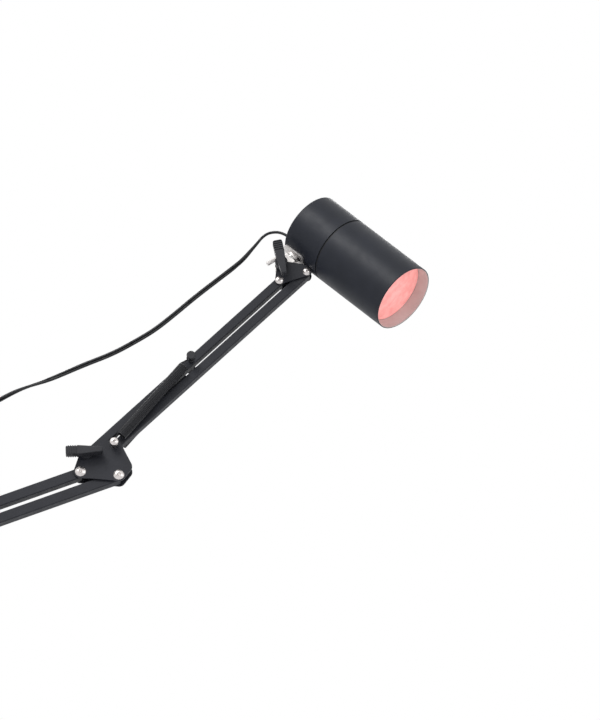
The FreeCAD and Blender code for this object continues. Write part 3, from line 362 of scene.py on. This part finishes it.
def lamp_paint():
    """Satin black, and inside the mouth a pale wall that the bulb reddens, its colour also tinted
    pink as painted red light from the bulb.
    """
    material, tree, shader = new_material("black_satin")
    place = tree.nodes.new("ShaderNodeTexCoord").outputs["Object"]
    from_rear = vector_math(tree, "SUBTRACT", place, lamp_rear).outputs["Vector"]
    across = vector_math(tree, "CROSS_PRODUCT", from_rear, lamp_way).outputs["Vector"]
    reach = vector_math(tree, "LENGTH", across).outputs["Value"]
    along = vector_math(tree, "DOT_PRODUCT", from_rear, lamp_way).outputs["Value"]
    outside = mapped(tree, reach, *(LAMP_RADIUS - depth for depth in SKIN_DEPTHS))
    behind = mapped(tree, along, MOUTH_WALL + WALL_EDGE, MOUTH_WALL)
    mix = tree.nodes.new("ShaderNodeMix")
    mix.data_type = "RGBA"
    tree.links.new(greater(tree, outside, behind), mix.inputs["Factor"])
    tree.links.new(ramp(tree, noise(tree, WALL_PATCH), *WALL_PALE_WITH_PAINTED_GLOW), mix.inputs["A"])
    tree.links.new(ramp(tree, noise(tree, LAMP_PATCH), *LAMP_BLACK), mix.inputs["B"])
    tree.links.new(mix.outputs["Result"], shader.inputs["Base Color"])
    roughen(tree, shader, LAMP_GLOSS_PATCH, LAMP_ROUGH)
    shader.inputs["Specular IOR Level"].default_value = LAMP_SPECULAR
    bump(tree, shader, noise(tree, LAMP_GRAIN, detail=2.0), LAMP_GRAIN_DEPTH)
    return material


def lens_glow():
    """Stippled red glass, lit from behind: salmon, with darker patches."""
    material, tree, shader = new_material("red_lens")
    patches = noise(tree, LENS_MOTTLE, detail=6.0, roughness=0.62)
    mottle = ramp(tree, patches, *LENS_RED, at=LENS_SPAN)
    tree.links.new(mottle, shader.inputs["Base Color"])
    tree.links.new(mottle, shader.inputs["Emission Color"])
    shader.inputs["Emission Strength"].default_value = LENS_LIGHT
    roughen(tree, shader, LENS_GLOSS_PATCH, LENS_ROUGH)
    bump(tree, shader, noise(tree, STIPPLE, detail=1.0), STIPPLE_DEPTH)
    return material


LAMP_PAINT = lamp_paint()
LENS_GLOW = lens_glow()

CAD_FINISHES = {
    ENAMEL: ("clamp_frame", "base_bracket", "lower_rear_bar", "lower_front_bar",
             "elbow_plates", "upper_rear_bar", "upper_front_bar", "head_plates", "clamp_foot"),
    LAMP_PAINT: ("rear_cap", "barrel"),
    GROOVE: ("joining_ring",),
    BLACK_SCREW: ("saddle_screws",),
    SPRING_STEEL: ("lower_spring_post", "upper_spring_post", "lower_springs", "upper_springs"),
    NICKEL_PLAIN: ("saddle_bracket", "tilt_block"),
    NICKEL_WITH_PAINTED_SHADE: ("elbow_rivets", "elbow_spring_bolt", "base_rivet", "base_spring_bolt",
             "head_rivets"),
    ZINC: ("base_pin", "clamp_screw", "pin_thumbscrew", "elbow_knob_bolt", "tilt_bolt",
           "swivel_stud", "swivel_fasteners", "holder_strap"),
    KNOB: ("elbow_knob", "tilt_knob"),
    NYLON: ("swivel_washer",),
    FIBRE: ("base_washers", "elbow_washers", "head_washers"),
    RUBBER: ("jaw_pad", "foot_pad", "cord_gland"),
    LENS_GLOW: ("bulb_lens",),
    SILVERED: ("bulb_envelope",),
    BRASS: ("bulb_screw_cap", "plug_blades"),
    CERAMIC: ("lampholder",),
    SLEEVE: ("supply_leads",),
    CORD: ("cord_tie",),
    MOULDING: ("switch_shells", "plug_body"),
    ROCKER: ("switch_rocker",),
}
for paint, names in CAD_FINISHES.items():
    for name in names:
        NODES[name].data.materials[0] = paint


# ---- swept pieces --------------------------------------------------------------------------------
def carried_frames(line):
    """For each point of a line, its tangent and a side that turns no more than the line does."""
    tangents = [(line[min(i + 1, len(line) - 1)] - line[max(i - 1, 0)]).normalized()
                for i in range(len(line))]
    side = tangents[0].cross(Vector((0, 0, 1))).normalized()
    sides = []
    for i, tangent in enumerate(tangents):
        if i:
            side = tangents[i - 1].rotation_difference(tangent) @ side
        side = (side - tangent * side.dot(tangent)).normalized()
        sides.append(side)
    return tangents, sides


def round_ring(centre, side, up, radius, count):
    """Points around a centre, at a radius, in the plane of two directions."""
    ring = []
    for k in range(count):
        angle = 2 * math.pi * k / count
        ring.append(centre + side * (radius * math.cos(angle)) + up * (radius * math.sin(angle)))
    return ring


def swept(name, rings, paint, smooth=True):
    """A closed skin over rings of points, flat at both ends."""
    count = len(rings[0])
    vertices = [point for ring in rings for point in ring]
    faces = []
    for i in range(len(rings) - 1):
        for k in range(count):
            a, b = i * count + k, i * count + (k + 1) % count
            faces.append((a, b, b + count, a + count))
    last = (len(rings) - 1) * count
    faces.append(tuple(range(count - 1, -1, -1)))
    faces.append(tuple(range(last, last + count)))
    mesh = bpy.data.meshes.new(name)
    mesh.from_pydata(vertices, [], faces)
    if smooth:
        mesh.polygons.foreach_set("use_smooth", [len(face) == 4 for face in faces])
    mesh.update()
    mesh.materials.append(paint)
    piece = bpy.data.objects.new(name, mesh)
    bpy.context.scene.collection.objects.link(piece)
    return piece


# ---- cord ----------------------------------------------------------------------------------------
CORD_WIDTH = 0.0056
CORD_THICK = 0.0032
WEB_SHARE = 0.62  # the web's thickness, as a share of a conductor's
SPLINE_ORDER = 3
CORD_STEPS = 10  # samples from one control point to the next
RING_STEPS = 7  # samples to each conductor's round side
CORD_FRONT = Vector((0.0, 0.906, 0.423))  # the cord's flat lies across this way beside the arm
EDGE_ON = (0.035, 0.115)  # it leaves the gland on its edge and turns flat between these, in metres
HALF_TWISTS = ((0.30, 0.44), (0.62, 0.86))  # it turns over here, in metres from the gland
LAY_ROLL = math.radians(65)  # how far it rolls to lie on the desk
LAY_START = 0.25  # the roll begins this far before the cord's end
LAY_LENGTH = 0.2  # and is done over this length

# The spline's control points, from the gland to the switch.
CORD_ROUTE = [
    (0.4925, 0.0311, 0.4772),
    (0.4845, 0.0337, 0.4852),
    (0.4729, 0.0344, 0.4876),
    (0.4618, 0.0332, 0.4831),
    (0.4507, 0.0287, 0.4659),
    (0.4357, 0.0230, 0.4440),
    (0.4083, 0.0175, 0.4182),
    (0.3838, 0.0145, 0.3958),
    (0.3600, 0.0125, 0.3726),
    (0.3386, 0.0115, 0.3534),
    (0.3173, 0.0120, 0.3397),
    (0.2917, 0.0120, 0.3243),
    (0.2576, 0.0125, 0.3102),
    (0.2212, 0.0130, 0.2924),
    (0.1891, 0.0140, 0.2822),
    (0.1611, 0.0160, 0.2670),
    (0.1300, 0.0190, 0.2460),
    (0.0930, 0.0250, 0.2160),
    (0.0620, 0.0310, 0.1770),
    (0.0385, 0.0370, 0.1330),
    (0.0200, 0.0425, 0.0890),
    (0.0015, 0.0462, 0.0490),
    (-0.0165, 0.0478, 0.0195),
    (-0.0380, 0.0476, 0.0046),
    (-0.0580, 0.0473, 0.0047),
    (-0.0705, 0.0470, 0.0088),
    (-0.0820, 0.0470, 0.0088),
]

# Each stretch: its first and last corner of the route, the bodies it joins, and the pieces on it.
STRETCHES = (
    ("cord_lamp", 1, 3, "lamp", "tilt", ("cord_gland",)),
    ("cord_tilt", 4, 5, "tilt", "head", ()),
    ("cord_head", 6, 7, "head", "upper_rear", ()),
    ("cord_upper", 8, 10, "upper_rear", "elbow", ()),
    ("cord_elbow", 11, 13, "elbow", "lower_rear", ()),
    ("cord_lower", 14, 18, "lower_rear", "base_swivel", ()),
    ("cord_base", 19, 25, "base_swivel", "clamp", ("switch_shells", "switch_rocker")),
)
LAST_FIRST = ("cord_upper", "cord_lower")  # for these, the two bodies and the two ends are swapped
END_SHARE = 0.04  # of a stretch, from each end to the points taken as its start and end


def spline_line(points):
    """The smooth line that a spline with these control points follows."""
    curve = bpy.data.curves.new("line", "CURVE")
    curve.dimensions = "3D"
    curve.resolution_u = CORD_STEPS
    spline = curve.splines.new("NURBS")
    spline.points.add(len(points) - 1)
    for point, place in zip(spline.points, points):
        point.co = (*place, 1)
    spline.order_u = SPLINE_ORDER
    spline.use_endpoint_u = True
    holder = bpy.data.objects.new("line", curve)
    bpy.context.scene.collection.objects.link(holder)
    bpy.context.view_layer.update()
    mesh = bpy.data.meshes.new_from_object(holder)
    line = [vertex.co.copy() for vertex in mesh.vertices]
    bpy.data.objects.remove(holder)
    return line


def lengths_along(line):
    found = [0.0]
    for a, b in zip(line, line[1:]):
        found.append(found[-1] + (b - a).length)
    return found


def twin_section():
    """The outline of a flat twin cord: two round conductors side by side with a web between."""
    radius = CORD_THICK / 2
    offset = CORD_WIDTH / 2 - radius
    waist = math.asin(WEB_SHARE)
    outline = []
    for way in (1, -1):
        for k in range(RING_STEPS):
            angle = -math.pi + waist + (2 * math.pi - 2 * waist) * k / (RING_STEPS - 1)
            across = way * (offset + radius * math.cos(angle))
            outline.append((across, way * radius * math.sin(angle)))
    return outline


def cord_mesh(name, line, tangents, sides, rolls):
    """A twin cord along a line, rolled about it by an angle at each point."""
    section = twin_section()
    rings = []
    for point, tangent, side, roll in zip(line, tangents, sides, rolls):
        across = Matrix.Rotation(roll, 3, tangent) @ side
        up = tangent.cross(across)
        rings.append([point + across * x + up * y for x, y in section])
    piece = swept(name, rings, CORD)
    return piece


def eased(value):
    value = max(0.0, min(1.0, value))
    return value * value * (3 - 2 * value)


def passed(place, stretch):
    """How much of a (start, end) stretch lies behind a place, eased, from 0 to 1."""
    start, end = stretch
    return eased((place - start) / (end - start))


def roll_to(tangent, side, target):
    """The angle about the tangent from one direction to another."""
    return math.atan2(side.cross(target).dot(tangent), side.dot(target))


def cord_rolls(tangents, sides, along):
    """The roll at each point: on edge at the gland, then flat with a few slow half twists, and
    rolled over to lie on the desk."""
    rolls, last = [], 0.0
    for tangent, side, s in zip(tangents, sides, along):
        roll = roll_to(tangent, side, tangent.cross(CORD_FRONT).normalized())
        last += math.remainder(roll - last, 2 * math.pi)
        twist = sum(math.pi * passed(s, turn) for turn in HALF_TWISTS)
        twist -= math.pi / 2 * (1 - passed(s, EDGE_ON))
        lay = LAY_ROLL * eased((s - along[-1] + LAY_START) / LAY_LENGTH)
        rolls.append(last + twist + lay)
    return rolls


def make_cord():
    """One long cord, cut at each joint that it passes."""
    line = spline_line(CORD_ROUTE)
    tangents, sides = carried_frames(line)
    along = lengths_along(line)
    rolls = cord_rolls(tangents, sides, along)
    for name, first, last, body, next_body, pieces in STRETCHES:
        # The spline has one span less than it has steps between its points, so its samples lie
        # closer than this counts: each cut falls short, and the last stretch misses the switch.
        a, b = (first - 1) * CORD_STEPS, min(last * CORD_STEPS, len(line) - 1)
        cut = slice(a, b + 1)
        piece = cord_mesh(name + "_flex", line[cut], tangents[cut], sides[cut], rolls[cut])
        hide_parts(name)
        start, end = line[a].lerp(line[b], END_SHARE), line[b].lerp(line[a], END_SHARE)
        if name in LAST_FIRST:
            body, next_body, start, end = next_body, body, end, start
        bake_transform(piece)


COIL_CENTRE = (-0.198, 0.016)
COIL_RADIUS = 0.031
COIL_PITCH = 0.0034
COIL_LOW = 0.0031
COIL_TURNS = ((0, 1.0), (0, 0.0), (0, -1.0), (1, -0.5), (1, 0.5))  # layer, and pitches outwards
COIL_POINTS = 14  # to a turn
COIL_HOLD = 0.75  # of a turn, before it eases across to the next one's place
COIL_LAST = 0.5  # of the last turn, before the cord leaves for the plug
# The control points before the coil and after it.
SWITCH_END = ((-0.1380, 0.0470, 0.0088), (-0.1500, 0.0470, 0.0088), (-0.1650, 0.0472, 0.0039))
PLUG_END = ((-0.1800, -0.0150, 0.0040), (-0.1640, -0.0152, 0.0032), (-0.1505, -0.0150, 0.0068),
            (-0.1395, -0.0150, 0.0068))


def coil_points():
    """The coil's turns: three beside each other, then two on top, each easing into the next."""
    points = []
    turns = len(COIL_TURNS)
    for k in range(int(COIL_POINTS * (turns - 1 + COIL_LAST)) + 1):
        at = k / COIL_POINTS
        turn = min(int(at), turns - 1)
        layer, place = COIL_TURNS[turn]
        if turn < turns - 1:
            share = max(0.0, min(1.0, (at - turn - COIL_HOLD) / (1 - COIL_HOLD)))
            next_layer, next_place = COIL_TURNS[turn + 1]
            layer += (next_layer - layer) * share
            place += (next_place - place) * share
        angle = math.pi / 2 + 2 * math.pi * at
        radius = COIL_RADIUS + place * COIL_PITCH
        points.append((COIL_CENTRE[0] + radius * math.cos(angle),
                       COIL_CENTRE[1] + radius * math.sin(angle), COIL_LOW + layer * CORD_WIDTH))
    return points


def make_tail():
    """The cord from the switch through the coil to the plug, one piece."""
    line = spline_line([*SWITCH_END, *coil_points(), *PLUG_END])
    tangents, sides = carried_frames(line)
    rolls = []
    for tangent, side in zip(tangents, sides):
        upright = tangent.cross(Vector((0, 0, 1))).normalized().cross(tangent)
        rolls.append(roll_to(tangent, side, upright))
    piece = cord_mesh("cord_tail_flex", line, tangents, sides, rolls)
    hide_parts("cord_tail", "cord_coil")
    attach(piece, "clamp")


# ---- springs -------------------------------------------------------------------------------------
SPRING_RADIUS = 0.006
SPRING_WIRE = 0.0016
SPRING_SIDE = 0.0123  # from the arm's middle plane
SPRING_PITCH = 1.03  # from turn to turn, in thicknesses of the wire
SPRING_START = 0.0125  # from the bolt's axis to the first turn
SPRING_STOP = 0.013  # from the last turn to the post's axis
EYE_RADIUS = 0.0043
EYE_GAP = 0.00005
EYE_TURN = 310  # degrees of each end loop
BOLT_EYE, POST_EYE = -25, 155  # degrees at which the loops start
BOLT_RADIUS = 0.0025
POST_RADIUS = 0.003
TURN_STEPS = 14
LOOP_STEPS = 12
WIRE_SIDES = 6


def eye_points(centre, first):
    """A spring's end loop, from an angle in degrees."""
    points = []
    for k in range(LOOP_STEPS + 1):
        angle = math.radians(first - EYE_TURN * k / LOOP_STEPS)
        points.append(Vector((centre + EYE_RADIUS * math.cos(angle), 0,
                              EYE_RADIUS * math.sin(angle))))
    return points


def spring_line(length):
    """The wire's line with the spring along +X from a pin at 0 to a pin at length."""
    wire = SPRING_WIRE / 2
    mean = SPRING_RADIUS - wire
    points = eye_points(EYE_RADIUS - wire - BOLT_RADIUS - EYE_GAP, BOLT_EYE)
    low, high = SPRING_START, length - SPRING_STOP
    steps = round((high - low) / (SPRING_WIRE * SPRING_PITCH)) * TURN_STEPS
    for k in range(steps + 1):
        angle = math.pi / 2 + 2 * math.pi * k / TURN_STEPS
        x = low + (high - low) * k / steps
        points.append(Vector((x, mean * math.cos(angle), mean * math.sin(angle))))
    return points + eye_points(length - (EYE_RADIUS - wire - POST_RADIUS - EYE_GAP), POST_EYE)


def wire_mesh(name, line, radius, paint):
    """A round wire along a line."""
    rings = [round_ring(point, side, tangent.cross(side), radius, WIRE_SIDES)
             for point, tangent, side in zip(line, *carried_frames(line))]
    return swept(name, rings, paint)


def make_springs(node, bolt, post):
    """A near and a far spring between a bolt and a post."""
    reach = post - bolt
    for label, way in (("near", -1), ("far", 1)):
        place = Matrix.Translation((bolt.x, way * SPRING_SIDE, bolt.z))
        frame_of = place @ Matrix.Rotation(-math.atan2(reach.z, reach.x), 4, "Y")
        line = [frame_of @ point for point in spring_line(math.hypot(reach.x, reach.z))]
        piece = wire_mesh(f"{node}_{label}", line, SPRING_WIRE / 2, SPRING_STEEL)
        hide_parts(node)
        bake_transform(piece)


# ---- set screw -----------------------------------------------------------------------------------
SCREW_PLACE = (-0.0024, -0.0148, 0.0064)  # the collar's middle from the tilt axis
SCREW_WAY = Vector((-0.83, 0.0, -0.56)).normalized()
SCREW_RADIUS = 0.0026
SCREW_TIP = 0.0160
COLLAR_RADIUS = 0.0044
COLLAR_LENGTH = 0.0028
THREAD_PITCH = 0.0009
THREAD_DEPTH = 0.00022
TURNED_EDGE = 0.0004  # the bevel at the end of the collar and of the shank
TURNED_SIDES = 24


def turned_mesh(name, start, way, profile, paint):
    """A piece turned about an axis from (place along it, radius) pairs."""
    side = way.cross(Vector((0, 1, 0))).normalized()
    up = way.cross(side)
    rings = [round_ring(start + way * along, side, up, radius, TURNED_SIDES)
             for along, radius in profile]
    return swept(name, rings, paint, smooth=False)


def make_set_screw():
    """The upper knob's set screw: a dark collar on the hub and a bright threaded shank."""
    start = pivot("lamp_tilt") + Vector(SCREW_PLACE)
    half = COLLAR_LENGTH / 2
    collar = turned_mesh("set_screw_collar", start, SCREW_WAY,
                         [(-half, COLLAR_RADIUS), (half - TURNED_EDGE, COLLAR_RADIUS),
                          (half, COLLAR_RADIUS - TURNED_EDGE)], KNOB)
    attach(collar, "tilt_wing")
    profile = [(0.0, SCREW_RADIUS), (half, SCREW_RADIUS)]
    place = half
    while place + THREAD_PITCH < SCREW_TIP:
        profile += [(place + THREAD_PITCH / 2, SCREW_RADIUS - THREAD_DEPTH),
                    (place + THREAD_PITCH, SCREW_RADIUS)]
        place += THREAD_PITCH
    profile.append((place + TURNED_EDGE, SCREW_RADIUS - TURNED_EDGE))
    shank = turned_mesh("set_screw", start, SCREW_WAY, profile, NICKEL_PLAIN)
    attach(shank, "tilt_wing")


# ---- build ---------------------------------------------------------------------------------------
make_camera()
make_world()
make_floor()
for light in LIGHTS:
    add_area(*light)
make_cord()
make_tail()
make_springs("lower_springs", pivot("lower_front_follow"), middle("lower_spring_post"))
make_springs("upper_springs", pivot("upper_front_follow"), middle("upper_spring_post"))
make_set_screw()
